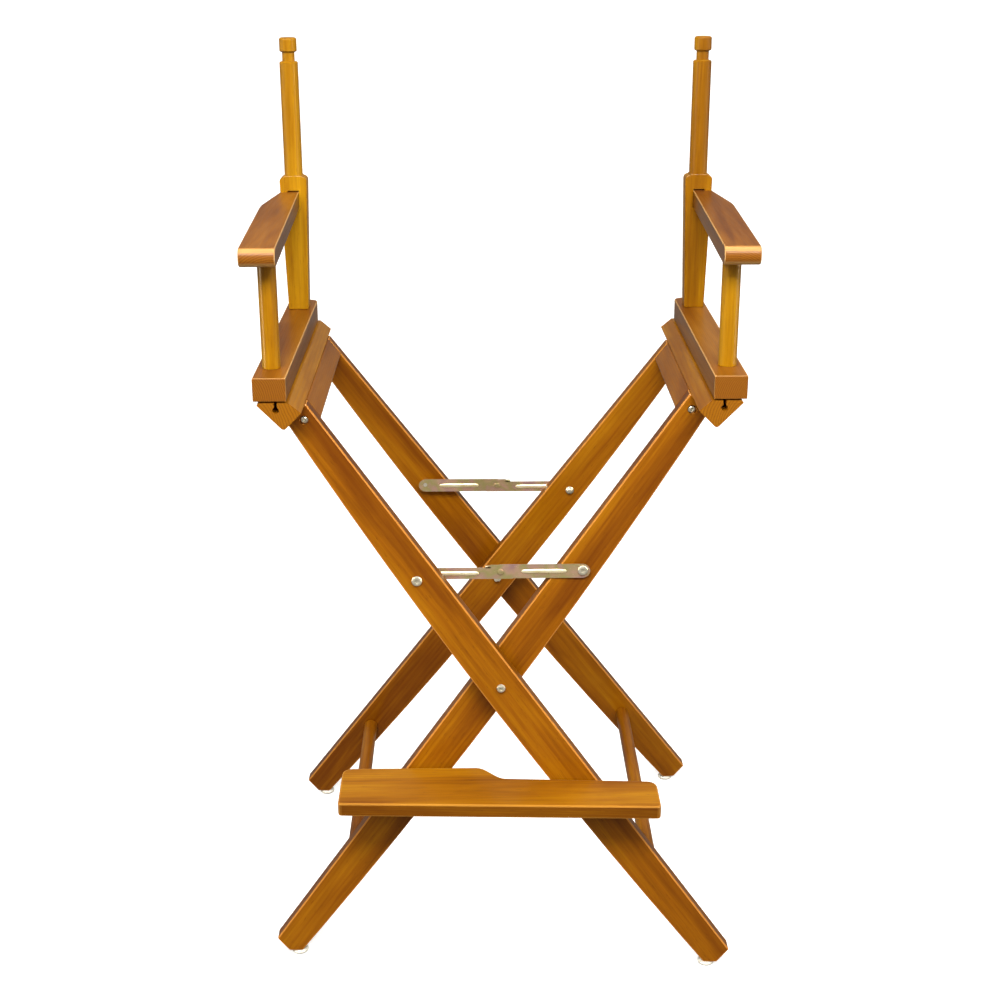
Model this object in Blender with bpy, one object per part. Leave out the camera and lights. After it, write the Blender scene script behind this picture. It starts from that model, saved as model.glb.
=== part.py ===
"""Bar-height folding director chair frame: two crossed leg frames, arms, braces and footrest.

+X points to the right as seen from the front, +Y to the back and +Z up.
The origin is on the floor, under the middle of the chair's outer box.
Dimensions are in millimetres; MM turns them into metres when a mesh is made.
"""
from math import atan, cos, pi, radians, sin, tan

import bmesh
import bpy
from mathutils import Matrix, Vector

MM = 0.001
GAP = 0.3                    # clearance between touching pieces
SHIFT_Y = 20.95              # puts the origin under the middle of the box around the chair

# Crossed legs
PIVOT_Z = 389.5              # height of the main pivot
LEG_LEAN = atan(0.73378)     # leg direction from the vertical, seen from the front
LEG_SPLAY = atan(0.0916)     # leg direction out of the vertical plane, seen from the side
LEG_THICK = 20.0
LEG_WIDTH = 50.4             # at the widest point of the bowed lower edge
LEG_BOW = 0.00011            # loss of width per squared millimetre of height from that point
LEG_BOW_Z = 360.8
LEG_UPPER = 25.6             # pivot to the straight upper edge, across the leg
OUTER_Y = 210.2              # pivot plane to the outer face of the outer legs, at the pivot
INNER_STEP = 34.8            # outer leg face to inner leg face
FOOT_Z = 6.5                 # underside of the wooden foot
FOOT_TOE = (283.2, 297.5, 24.0)
FOOT_HEEL = (258.7, 253.5, 13.0)

# Hardware positions in the front view
TOP_BOLT = (237.2, 732.0)
BRACE_BOLT = (104.0, 530.0)
ROD_AT = (196.0, 129.3)
FOOTREST_PIVOT = (-135.6, 236.0)
REST_AT_X = 115.0

# Seat rails, arm bases, posts and armrests (right side)
RAIL_HALF = 209.0
RAIL_TOP = 764.3
RAIL_SECTION = ((250.6, RAIL_TOP), (286.8, RAIL_TOP), (288.5, 761.5))
RAIL_APEX = (257.6, 729.7)
RAIL_APEX_RADIUS = 4.0
RAIL_INNER = (235.9, 751.9)
KEYHOLE_X = 266.0
KEYHOLE_NECK = 3.8
KEYHOLE_DROP = 9.0
KEYHOLE_RADIUS = 4.0
BASE_X = (252.8, 292.5)
BASE_Z = (766.1, 794.6)
BASE_HALF = 209.5
BASE_CORNER = 12.0
ARM_Z = (925.9, 948.5)       # at the front post
ARM_SLOPE = 0.0245           # rise of the armrest to the back
ARM_FRONT_Y = -209.5
ARM_INNER_X = (257.9, 266.6)
ARM_OUTER_X = (300.6, 306.5, 292.0)
ARM_KINK_Y = 51.0
ARM_TENON_X = (266.8, 281.4)
POST_Y = 158.7
FRONT_POST_X = 274.6
FRONT_POST_RADIUS = 11.25
REAR_POST_X = 273.5
REAR_POST_DEPTH = 24.4
REAR_POST_WIDTH = (27.0, 36.6)
REAR_POST_FLAT_TOP = 976.0
REAR_POST_RADIUS = 12.25
GROOVE_Z = (1125.4, 1138.1)
GROOVE_RADIUS = 8.25
CAP_RADIUS = 11.5
CHAIR_TOP = 1156.0
TENON_RADIUS = 6.0
TENON_LENGTH = 14.0
HINGE_AT = (295.6, 764.6)
HINGE_LENGTH = 30.0          # of each half, along the rail

# Braces and footrest
BRACE_OUTER_Y = (164.2, 165.4)
BRACE_INNER_Y = (162.7, 163.9)
BRACE_WIDE = 18.6
BRACE_NARROW = 15.0
RIVET_Z = 529.0
BOARD_Z = (249.0, 267.0)
BOARD_X = (-205.0, 197.5)
BOARD_FRONT_Y = (-282.0, -296.0)            # left and right end
BOARD_BACK_LEFT_Y = -193.4
BOARD_STEP_X = (-32.0, 6.0)
BOARD_BACK_RIGHT_Y = (-222.0, -232.0)         # after the step and at the right end
PLATE = 2.0                  # bracket sheet thickness

SEGMENTS = 24
FRONT_VIEW = Matrix(((1, 0, 0, 0), (0, 0, -1, SHIFT_Y * MM), (0, 1, 0, 0), (0, 0, 0, 1)))


def metres(*values):
    """Vector in metres from millimetre values."""
    return Vector([value * MM for value in values])


# ---------------------------------------------------------------- materials

def material(name, colour, roughness, metallic=0.0):
    """Principled material with one colour."""
    made = bpy.data.materials.new(name)
    made.use_nodes = True
    shader = made.node_tree.nodes["Principled BSDF"]
    shader.inputs["Base Color"].default_value = (*colour, 1.0)
    shader.inputs["Roughness"].default_value = roughness
    shader.inputs["Metallic"].default_value = metallic
    made.diffuse_color = (*colour, 1.0)
    return made


def leg_wood(name):
    return material(name, (0.38, 0.115, 0.006), 0.38)


def arm_wood(name):
    return material(name, (0.55, 0.25, 0.035), 0.30)


def zinc(name):
    return material(name, (0.62, 0.55, 0.36), 0.32, 1.0)


def nylon(name):
    return material(name, (0.82, 0.80, 0.74), 0.5)


# ---------------------------------------------------------------- mesh tools

def add_object(name, bm, finish, place=None):
    """Finish a mesh as an object, smooth on its round faces only."""
    mesh = bpy.data.meshes.new(name)
    bmesh.ops.recalc_face_normals(bm, faces=bm.faces)
    bm.to_mesh(mesh)
    bm.free()
    if finish:
        mesh.materials.append(finish(name))
    mesh.shade_smooth()
    mesh.set_sharp_from_angle(angle=pi / 6)
    made = bpy.data.objects.new(name, mesh)
    bpy.context.scene.collection.objects.link(made)
    made.matrix_world = place or Matrix()
    return made


def prism(outline, near, far):
    """Solid between two copies of an outline in local XY, at local Z near and far."""
    bm = bmesh.new()
    low = [bm.verts.new(metres(x, y, near)) for x, y in outline]
    high = [bm.verts.new(metres(x, y, far)) for x, y in outline]
    bm.faces.new(low)
    bm.faces.new(high)
    for index in range(len(outline)):
        after = (index + 1) % len(outline)
        bm.faces.new((low[index], low[after], high[after], high[index]))
    return bm


def turned(profile, segments=SEGMENTS, tube=False, into=None, place=None):
    """Solid of revolution about local Z from (radius, height) pairs; a tube profile is a closed loop."""
    bm = into or bmesh.new()
    place = place or Matrix()
    rings = []
    for radius, height in profile:
        ring = []
        for step in range(segments):
            turn = 2 * pi * step / segments
            ring.append(bm.verts.new(place @ metres(radius * cos(turn), radius * sin(turn), height)))
        rings.append(ring)
    pairs = list(zip(rings, rings[1:]))
    if tube:
        pairs.append((rings[-1], rings[0]))
    else:
        bm.faces.new(rings[0])
        bm.faces.new(rings[-1])
    for low, high in pairs:
        for step in range(segments):
            after = (step + 1) % segments
            bm.faces.new((low[step], low[after], high[after], high[step]))
    return bm


def arc(centre, radius, start, stop, steps):
    """Points on an arc, angles in radians."""
    points = []
    for step in range(steps + 1):
        turn = start + (stop - start) * step / steps
        points.append((centre[0] + radius * cos(turn), centre[1] + radius * sin(turn)))
    return points


def slice_off(bm, place, point, normal):
    """Cut away what lies on the normal's side of a world plane, and close the cut."""
    inverse = place.inverted()
    local_point = inverse @ point
    local_normal = inverse.to_3x3() @ normal
    geometry = list(bm.verts) + list(bm.edges) + list(bm.faces)
    bmesh.ops.bisect_plane(bm, geom=geometry, plane_co=local_point, plane_no=local_normal,
                           clear_outer=True, dist=1e-7)
    bmesh.ops.holes_fill(bm, edges=[edge for edge in bm.edges if edge.is_boundary], sides=0)


def ease(target, width, segments=2):
    """Round the sharp edges of an object."""
    bevel = target.modifiers.new("eased edges", "BEVEL")
    bevel.width = width * MM
    bevel.segments = segments
    bevel.limit_method = "ANGLE"
    bevel.angle_limit = pi / 5


def cut(target, bm, place=None, operation="DIFFERENCE"):
    """Subtract a cutter mesh from an object, or join it to the object."""
    cutter = add_object("cut_" + target.name + str(len(target.modifiers)), bm, None, place)
    cutter.hide_render = True
    cutter.display_type = "WIRE"
    boolean = target.modifiers.new("cut", "BOOLEAN")
    boolean.operation = operation
    boolean.solver = "EXACT"
    boolean.object = cutter


def mirrored(points, side):
    """Front-view points of the right-hand side, mirrored for side -1."""
    return [(side * x, z) for x, z in points]


def along_y(x, z, y=0.0, inward=1):
    """Place whose local +Z runs along world Y at a front-view point; inward -1 turns it round."""
    turn = Matrix.Rotation(-inward * pi / 2, 4, "X")
    return Matrix.Translation(metres(x, y + SHIFT_Y, z)) @ turn


# ---------------------------------------------------------------- legs

def leg_place(side, end):
    """Axes of a leg: local X to its upper edge, local Y up along it, origin on its outer face at the pivot.

    side is +1 for the outer frame, whose legs run down to +X, and -1 for the inner frame.
    end is -1 for the front and +1 for the back.
    """
    across = Vector((side * cos(LEG_LEAN), 0, sin(LEG_LEAN)))
    up = Vector((-side * sin(LEG_LEAN) * cos(LEG_SPLAY), -end * sin(LEG_SPLAY),
                 cos(LEG_LEAN) * cos(LEG_SPLAY)))
    normal = across.cross(up)
    place = Matrix((across, up, normal)).transposed().to_4x4()
    depth = OUTER_Y if side > 0 else OUTER_Y - INNER_STEP
    place.translation = metres(0, end * depth + SHIFT_Y, PIVOT_Z)
    return place


def outward(side, end):
    """Sign of a leg's local Z that points away from the chair."""
    return -side * end


def leg_coordinates(side, x, z):
    """Front-view point to a leg's own across and along coordinates."""
    across = side * x * cos(LEG_LEAN) + (z - PIVOT_Z) * sin(LEG_LEAN)
    along = -side * x * sin(LEG_LEAN) + (z - PIVOT_Z) * cos(LEG_LEAN)
    return across, along / cos(LEG_SPLAY)


def face_y(side, x, z, inner=False):
    """Distance from the fold plane to a leg's outer or inner face at a front-view point."""
    along = -side * x * sin(LEG_LEAN) + (z - PIVOT_Z) * cos(LEG_LEAN)
    depth = OUTER_Y if side > 0 else OUTER_Y - INNER_STEP
    if inner:
        depth -= LEG_THICK / cos(LEG_SPLAY)
    return depth - along * tan(LEG_SPLAY)


def rail_plane(side):
    """Point and normal of the rail's inner lower face, which the leg top and the stretcher meet."""
    run = Vector((RAIL_INNER[0] - RAIL_APEX[0], 0, RAIL_INNER[1] - RAIL_APEX[1])).normalized()
    normal = Vector((-side * run.z, 0, -run.x))
    point = metres(-side * RAIL_INNER[0], 0, RAIL_INNER[1]) - normal * GAP * MM
    return point, normal


def make_leg(name, side, end):
    """Leg plank with a straight upper edge, a bowed lower edge, shaped ends and its holes."""
    steps = 12
    low_end = -500.0
    high_end = 450.0
    outline = [(LEG_UPPER, low_end), (LEG_UPPER, high_end)]
    for step in range(steps + 1):
        along = high_end + (low_end - high_end) * step / steps
        height = PIVOT_Z + LEG_UPPER * sin(LEG_LEAN) + along * cos(LEG_LEAN)
        width = LEG_WIDTH - LEG_BOW * (height - LEG_BOW_Z) ** 2
        outline.append((LEG_UPPER - width, along))
    sign = outward(side, end)
    place = leg_place(side, end)
    bm = prism(outline, 0.0, -sign * LEG_THICK)
    slice_off(bm, place, metres(0, 0, FOOT_Z), Vector((0, 0, -1)))
    toe_x, side_x, side_z = FOOT_TOE
    slice_off(bm, place, metres(side * toe_x, 0, FOOT_Z),
              Vector((side * (side_z - FOOT_Z), 0, toe_x - side_x)))
    heel_x, inner_x, inner_z = FOOT_HEEL
    slice_off(bm, place, metres(side * heel_x, 0, FOOT_Z),
              Vector((-side * (inner_z - FOOT_Z), 0, inner_x - heel_x)))
    slice_off(bm, place, *rail_plane(side))
    leg = add_object(name, bm, leg_wood, place)
    ease(leg, 1.8)

    holes = bmesh.new()
    reach = LEG_THICK + 12
    drilled = [(0, PIVOT_Z, 3.7), (-side * BRACE_BOLT[0], BRACE_BOLT[1], 3.2)]
    for x, z, radius in drilled:
        middle = end * (face_y(side, x, z) - LEG_THICK / 2)
        turned([(radius, -reach), (radius, reach)], 16, into=holes, place=along_y(x, z, middle))
    rod_x, rod_z = side * ROD_AT[0], ROD_AT[1]
    inner = end * face_y(side, rod_x, rod_z, True)
    turned([(TENON_RADIUS + GAP, -12), (TENON_RADIUS + GAP, 14)], 16, into=holes,
           place=along_y(rod_x, rod_z, inner, end))
    turned([(3.4, -LEG_THICK - 8), (3.4, -5.6), (5.6, -5.6), (5.6, 8)], 16, into=holes,
           place=bolt_place(side, end))
    if end < 0:
        screw_x = FOOTREST_PIVOT[0] if side < 0 else REST_AT_X
        face = -face_y(side, screw_x, FOOTREST_PIVOT[1])
        turned([(2.7, -8), (2.7, 14)], 16, into=holes, place=along_y(screw_x, FOOTREST_PIVOT[1], face))
    cut(leg, holes)
    return leg


def make_glide(name, side, end):
    """Nylon foot disc with a domed rim and a flat bottom."""
    middle_x = side * 0.5 * (FOOT_TOE[0] + FOOT_HEEL[0] - 2.0)
    middle_y = end * (face_y(side, middle_x, FOOT_Z) - LEG_THICK / 2)
    profile = [(8.0, 0.0), (10.2, 0.9), (11.0, 2.4), (11.0, 3.4), (9.6, 5.4), (8.6, FOOT_Z - GAP)]
    place = Matrix.Translation(metres(middle_x, middle_y + SHIFT_Y, 0))
    return add_object(name, turned(profile), nylon, place)


# ---------------------------------------------------------------- rails, stretchers and rods

def make_rail(name, side):
    """Seat rail with a keyhole groove along its top for the canvas rod."""
    bore_z = RAIL_TOP - KEYHOLE_DROP
    half_neck = KEYHOLE_NECK / 2
    opening = pi / 2 - atan(half_neck / KEYHOLE_RADIUS)
    inner_run = Vector((RAIL_INNER[0] - RAIL_APEX[0], RAIL_INNER[1] - RAIL_APEX[1])).normalized()
    outer_run = Vector((RAIL_SECTION[2][0] - RAIL_APEX[0], RAIL_SECTION[2][1] - RAIL_APEX[1])).normalized()
    halfway = (inner_run + outer_run).normalized()
    spread = halfway.angle(inner_run)
    centre = Vector(RAIL_APEX) + halfway * RAIL_APEX_RADIUS / sin(spread)
    down = halfway.angle_signed(Vector((1, 0)))
    sweep = pi / 2 - spread
    middle = pi + down
    points = [RAIL_SECTION[0], (KEYHOLE_X - half_neck, RAIL_TOP)]
    points += arc((KEYHOLE_X, bore_z), KEYHOLE_RADIUS, pi - opening, 2 * pi + opening, 14)
    points += [(KEYHOLE_X + half_neck, RAIL_TOP), RAIL_SECTION[1], RAIL_SECTION[2]]
    points += arc(centre, RAIL_APEX_RADIUS, middle + sweep, middle - sweep, 5)
    points.append(RAIL_INNER)
    return add_object(name, prism(mirrored(points, side), -RAIL_HALF, RAIL_HALF), arm_wood, FRONT_VIEW)


def make_stretcher(name, side):
    """Bar between the two legs of a frame, right under the seat rail; side as for the legs."""
    corners = []
    for across, along in ((-6.0, 403.0), (25.2, 403.0), (25.2, 445.0), (-6.0, 445.0)):
        x = side * (across * cos(LEG_LEAN) - along * sin(LEG_LEAN))
        z = PIVOT_Z + across * sin(LEG_LEAN) + along * cos(LEG_LEAN)
        corners.append((x, z))
    bm = prism(corners, -OUTER_Y, OUTER_Y)
    slice_off(bm, FRONT_VIEW, *rail_plane(side))
    for end in (-1, 1):
        place = leg_place(side, end)
        normal = place.to_3x3() @ Vector((0, 0, outward(side, end)))
        point = place.translation - normal * (LEG_THICK + GAP) * MM
        slice_off(bm, FRONT_VIEW, point, normal)
    bar = add_object(name, bm, leg_wood, FRONT_VIEW)
    ease(bar, 1.5)
    holes = bmesh.new()
    for end in (-1, 1):
        place = bolt_place(side, end)
        turned([(3.4, -62), (3.4, -LEG_THICK + 6)], 16, into=holes, place=place)
    cut(bar, holes)
    return bar


def bolt_place(side, end):
    """Place of a stretcher bolt: local +Z out of the leg's outer face."""
    across, along = leg_coordinates(side, -side * TOP_BOLT[0], TOP_BOLT[1])
    turn = Matrix() if outward(side, end) > 0 else Matrix.Rotation(pi, 4, "X")
    return leg_place(side, end) @ Matrix.Translation(metres(across, along, 0)) @ turn


def make_rod(name, side):
    """Lower rod along Y, with a tenon at each end; side as for the legs."""
    x, z = side * ROD_AT[0], ROD_AT[1]
    tilt = 9.75 * tan(LEG_SPLAY) + GAP
    half = face_y(side, x, z, True) - tilt
    tip = face_y(side, x, z, True) + 12
    profile = [(TENON_RADIUS, -tip), (TENON_RADIUS, -half), (9.0, -half), (9.75, -half + 0.8),
               (9.75, half - 0.8), (9.0, half), (TENON_RADIUS, half), (TENON_RADIUS, tip)]
    return add_object(name, turned(profile), arm_wood, along_y(x, z))


# ---------------------------------------------------------------- fasteners

def head_profile(shank, head, height, length, socket=0.42):
    """Button head with a blind round socket; the head's seat is at height 0, the shank below it."""
    return [(shank, -length), (shank, 0.0), (head, 0.0), (head, height * 0.45), (head * 0.86, height * 0.82),
            (head * 0.62, height), (head * socket, height), (head * socket, height * 0.35)]


def make_stretcher_bolt(name, side, end):
    """Socket-head bolt sunk in a leg and running into the stretcher."""
    seat = bolt_place(side, end) @ Matrix.Translation(metres(0, 0, -5.3))
    return add_object(name, turned(head_profile(3.0, 4.9, 4.2, 52), 16), zinc, seat)


def make_pivot_bolt(name, end):
    """Bolt of the main fold on one side, with its head outside."""
    outer = OUTER_Y + 1.0
    place = along_y(0, PIVOT_Z, end * outer, end)
    length = INNER_STEP + LEG_THICK + 8.0
    return add_object(name, turned(head_profile(3.2, 5.6, 3.4, length), 20), zinc, place)


def ring_profile(inner, outer, low, high):
    """Closed loop of a plain ring or spacer."""
    return [(inner, low), (outer, low), (outer, high), (inner, high)]


def make_pivot_spacer(name, end):
    """Spacer ring between the outer and inner leg on a pivot bolt."""
    near = OUTER_Y - INNER_STEP + 1.2
    far = OUTER_Y - LEG_THICK - 1.4
    ring = turned(ring_profile(3.5, 7.5, near, far), 20, tube=True)
    return add_object(name, ring, zinc, along_y(0, PIVOT_Z, 0, end))


def make_pivot_nut(name, end):
    """Hexagon nut on the inner end of a pivot bolt."""
    seat = OUTER_Y - INNER_STEP - LEG_THICK - 1.4
    ring = turned(ring_profile(3.7, 6.4, seat - 5.0, seat), 6, tube=True)
    return add_object(name, ring, zinc, along_y(0, PIVOT_Z, 0, end))


def make_brace_bolt_outer(name, end):
    """Bolt through an outer leg that carries the outer brace arm, head outside the leg."""
    x, z = -BRACE_BOLT[0], BRACE_BOLT[1]
    seat = face_y(1, x, z) + 1.0
    length = seat - BRACE_OUTER_Y[0] + 0.4
    profile = head_profile(2.8, 6.6, 2.8, length)
    return add_object(name, turned(profile, 20), zinc, along_y(x, z, end * seat, end))


def make_brace_spacer(name, end):
    """Spacer tube that holds the outer brace arm off the outer leg."""
    x, z = -BRACE_BOLT[0], BRACE_BOLT[1]
    far = face_y(1, x, z, True) - 1.0
    ring = turned(ring_profile(3.1, 5.4, BRACE_OUTER_Y[1] + GAP, far), 16, tube=True)
    return add_object(name, ring, zinc, along_y(x, z, 0, end))


def make_brace_bolt_inner(name, end):
    """Bolt through the inner brace arm and the inner leg, head on the arm."""
    x, z = BRACE_BOLT
    seat = BRACE_INNER_Y[1] + GAP
    profile = head_profile(2.8, 6.6, 2.6, LEG_THICK + 8)
    return add_object(name, turned(profile, 20), zinc, along_y(x, z, end * seat, end))


# ---------------------------------------------------------------- arms

def make_base_board(name, side):
    """Board that carries the arm posts; its rear inner corner is rounded in plan."""
    inner, outer = BASE_X
    corner = arc((inner + BASE_CORNER, BASE_HALF - BASE_CORNER), BASE_CORNER, pi, pi / 2, 5)
    points = [(inner, -BASE_HALF), (outer, -BASE_HALF), (outer, BASE_HALF)] + corner[::-1]
    place = Matrix.Translation(metres(0, SHIFT_Y, 0))
    board = add_object(name, prism(mirrored(points, side), *BASE_Z), arm_wood, place)
    ease(board, 1.2)
    holes = bmesh.new()
    for x, y in ((FRONT_POST_X, -POST_Y), (REAR_POST_X, POST_Y)):
        at = Matrix.Translation(metres(side * x, y, BASE_Z[1]))
        turned([(TENON_RADIUS + GAP, -TENON_LENGTH - 1), (TENON_RADIUS + GAP, 5)], 16, into=holes, place=at)
    cut(board, holes, place)
    return board


def make_front_post(name, side):
    """Straight dowel between base board and armrest, with a tenon at each end."""
    low, high = BASE_Z[1] + GAP, ARM_Z[0] - GAP
    radius = FRONT_POST_RADIUS
    profile = [(TENON_RADIUS, low - TENON_LENGTH), (TENON_RADIUS, low), (radius, low), (radius, high),
               (TENON_RADIUS, high), (TENON_RADIUS, high + 11)]
    place = Matrix.Translation(metres(side * FRONT_POST_X, SHIFT_Y - POST_Y, 0))
    return add_object(name, turned(profile), arm_wood, place)


def make_rear_post(name, side):
    """Back post: a flat widening lower part with a mortise, then a dowel with a groove and a cap."""
    low = BASE_Z[1] + GAP
    half_low, half_high = REAR_POST_WIDTH[0] / 2, REAR_POST_WIDTH[1] / 2
    neck = REAR_POST_RADIUS - 0.4
    shoulder = arc((half_high - 6.0, REAR_POST_FLAT_TOP - 6.0), 6.0, 0.0, pi / 2, 4)
    right = [(half_low, low)] + shoulder + [(neck, REAR_POST_FLAT_TOP + 1.5)]
    outline = right + [(-x, z) for x, z in reversed(right)]
    place = Matrix.Translation(metres(side * REAR_POST_X, POST_Y, 0)) @ FRONT_VIEW
    half_depth = REAR_POST_DEPTH / 2
    post = add_object(name, prism(outline, -half_depth, half_depth), arm_wood, place)
    ease(post, 2.5)
    start = REAR_POST_FLAT_TOP - 14
    radius = REAR_POST_RADIUS
    dowel = [(radius - 1.0, start), (radius, start + 6), (radius, GROOVE_Z[0] - 1.2), (radius - 1.2, GROOVE_Z[0]),
             (GROOVE_RADIUS, GROOVE_Z[0] + 0.8), (GROOVE_RADIUS, GROOVE_Z[1] - 0.8),
             (CAP_RADIUS - 1.2, GROOVE_Z[1]), (CAP_RADIUS, GROOVE_Z[1] + 1.2),
             (CAP_RADIUS, CHAIR_TOP - 2.4), (CAP_RADIUS - 0.8, CHAIR_TOP - 0.8), (CAP_RADIUS - 2.6, CHAIR_TOP)]
    upright = Matrix.Translation(metres(side * REAR_POST_X, POST_Y + SHIFT_Y, 0))
    cut(post, turned(dowel), upright, "UNION")
    tenon = [(TENON_RADIUS, low - TENON_LENGTH), (TENON_RADIUS, low + 10)]
    cut(post, turned(tenon, 16), upright, "UNION")
    inner, outer = (value - REAR_POST_X for value in ARM_TENON_X)
    rise = ARM_SLOPE * 2 * POST_Y
    bottom, top = ARM_Z[0] + rise - 0.7, ARM_Z[1] + rise + 1.6
    left, right = side * (inner - 0.4), side * (outer + 0.4)
    slot = [(left, bottom), (right, bottom), (right, top), (left, top)]
    cut(post, prism(slot, -half_depth - 5, half_depth + 5), place)
    return post


def make_armrest(name, side):
    """Armrest with a bullnose front, a kinked outer edge and a rear tenon through the back post."""
    shoulder_y = POST_Y - REAR_POST_DEPTH / 2 - GAP - 0.3
    tip_y = POST_Y + REAR_POST_DEPTH / 2 - 0.6
    inner_front, inner_back = ARM_INNER_X
    outer_front, outer_kink, outer_back = ARM_OUTER_X
    tenon_inner, tenon_outer = ARM_TENON_X
    points = [(inner_front, ARM_FRONT_Y), (outer_front, ARM_FRONT_Y), (outer_kink, ARM_KINK_Y - 6),
              (outer_kink - 0.6, ARM_KINK_Y + 6), (outer_back, shoulder_y), (tenon_outer, shoulder_y),
              (tenon_outer, tip_y), (tenon_inner, tip_y), (inner_back, shoulder_y)]
    place = Matrix.Translation(metres(0, SHIFT_Y, 0))
    bm = prism(mirrored(points, side), *ARM_Z)
    front = [edge for edge in bm.edges
             if all(abs(vert.co.y - ARM_FRONT_Y * MM) < 1e-6 for vert in edge.verts)
             and abs(edge.verts[0].co.z - edge.verts[1].co.z) < 1e-6]
    nose = (ARM_Z[1] - ARM_Z[0]) / 2 - 0.4
    bmesh.ops.bevel(bm, geom=front, offset=nose * MM, segments=8, profile=0.5, affect="EDGES")
    for vert in bm.verts:
        vert.co.z += ARM_SLOPE * (vert.co.y + POST_Y * MM)
    arm = add_object(name, bm, arm_wood, place)
    ease(arm, 1.0, 1)
    hole = turned([(TENON_RADIUS + GAP, ARM_Z[0] - 5), (TENON_RADIUS + GAP, ARM_Z[0] + 12)], 16)
    cut(arm, hole, Matrix.Translation(metres(side * FRONT_POST_X, SHIFT_Y - POST_Y, 0)))
    return arm


def hinge_outline(upper):
    """Section of a hinge half: a knuckle round the pin with its leaf."""
    knuckle = 2.4
    sheet = 1.3
    reach = 21.0
    if upper:
        face = BASE_X[1] + GAP
        top = HINGE_AT[1] + reach
        curl = arc(HINGE_AT, knuckle, radians(145), radians(440), 12)
        return [(face, top), (face, HINGE_AT[1] + 2.0)] + curl + [(face + sheet, top - 16), (face + sheet, top)]
    corner = Vector(RAIL_SECTION[2])
    run = (Vector(RAIL_APEX) - corner).normalized()
    away = Vector((-run.y, run.x))
    inner = corner + away * 0.5
    outer = inner + away * sheet
    curl = arc(HINGE_AT, knuckle, pi, -pi / 3, 12)
    return [inner + run * reach, inner - run] + curl + [outer, outer + run * reach]


def make_hinge_plate(name, side, upper):
    """One half of an arm hinge: on the side of the base board, or under the rail."""
    near, far = (GAP / 2, HINGE_LENGTH) if upper else (-HINGE_LENGTH, -GAP / 2)
    return add_object(name, prism(mirrored(hinge_outline(upper), side), near, far), zinc, FRONT_VIEW)


# ---------------------------------------------------------------- braces

def make_brace_arm(name, side, end):
    """Flat brace arm from its leg bolt to the middle rivet; side as for the legs.

    The arm on the front outer leg and on the back inner leg is the narrow one with a stop plate.
    """
    narrow = side == -end
    near, far = BRACE_OUTER_Y if side > 0 else BRACE_INNER_Y
    length = BRACE_BOLT[0]
    half = BRACE_WIDE / 2
    if narrow:
        half_narrow = BRACE_NARROW / 2
        low = -half + half_narrow
        points = arc((0, low), half_narrow, pi / 2, 3 * pi / 2, 8)
        points += [(length - 14, -half), (length + 15.5, -half), (length + 15.5, half),
                   (length - 12, half), (length - 19, low + half_narrow)]
    else:
        points = arc((0, 0), half, pi / 2, 3 * pi / 2, 8) + arc((length, 0), half, -pi / 2, pi / 2, 8)
    outline = [(side * (x - length), z + RIVET_Z) for x, z in points]
    arm = add_object(name, prism(outline, -end * near, -end * far), zinc, FRONT_VIEW)
    hole = turned([(3.1, -6), (3.1, 6)], 16)
    cut(arm, hole, along_y(-side * length, BRACE_BOLT[1], end * near))
    return arm


def make_rivet(name, side, end):
    """Half of the middle rivet, a low dome on the free face of one arm."""
    seat = BRACE_OUTER_Y[1] + GAP if side > 0 else BRACE_INNER_Y[0] - GAP
    profile = [(4.4, 0.0), (4.0, 0.7), (2.4, 1.2)]
    return add_object(name, turned(profile, 20), zinc, along_y(0, RIVET_Z, end * seat, side * end))


# ---------------------------------------------------------------- footrest

def make_board(name):
    """Footrest board: its back edge steps forward where it passes in front of the outer leg."""
    round_back = 13.0
    round_front = 5.0
    left, right = BOARD_X
    left_front, right_front = BOARD_FRONT_Y
    step_y, right_back = BOARD_BACK_RIGHT_Y
    points = arc((left + round_front, left_front + round_front), round_front, pi, 1.5 * pi, 3)
    points += arc((right - round_front, right_front + round_front), round_front, 1.5 * pi, 2 * pi, 3)
    points += arc((right - round_back, right_back - round_back), round_back, 0, pi / 2, 5)
    low, high = BOARD_STEP_X
    steps = 8
    for step in range(steps + 1):
        share = step / steps
        x = high + (low - high) * share
        points.append((x, step_y + (BOARD_BACK_LEFT_Y - step_y) * (1 - cos(pi * share)) / 2))
    points += arc((left + round_back, BOARD_BACK_LEFT_Y - round_back), round_back, pi / 2, pi, 5)
    place = Matrix.Translation(metres(0, SHIFT_Y, 0))
    board = add_object(name, prism(points, *BOARD_Z), arm_wood, place)
    ease(board, 2.0)
    holes = bmesh.new()
    for x, y in board_screw_places():
        at = Matrix.Translation(metres(x, y, BOARD_Z[0]))
        turned([(2.1, -5), (2.1, 12)], 12, into=holes, place=at)
    cut(board, holes, place)
    return board


def bracket_back(side, x):
    """Distance from the fold plane to the back of a footrest bracket, clear of the splayed leg."""
    corners = [face_y(side, x + offset, z) for offset in (-10, 10) for z in (228, BOARD_Z[0])]
    return max(corners) + 0.4


def board_screw_places():
    """Front-to-back positions of the two screws through the pivot bracket into the board."""
    back = bracket_back(-1, FOOTREST_PIVOT[0])
    return [(FOOTREST_PIVOT[0], -back - drop) for drop in (16.0, 32.0)]


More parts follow.
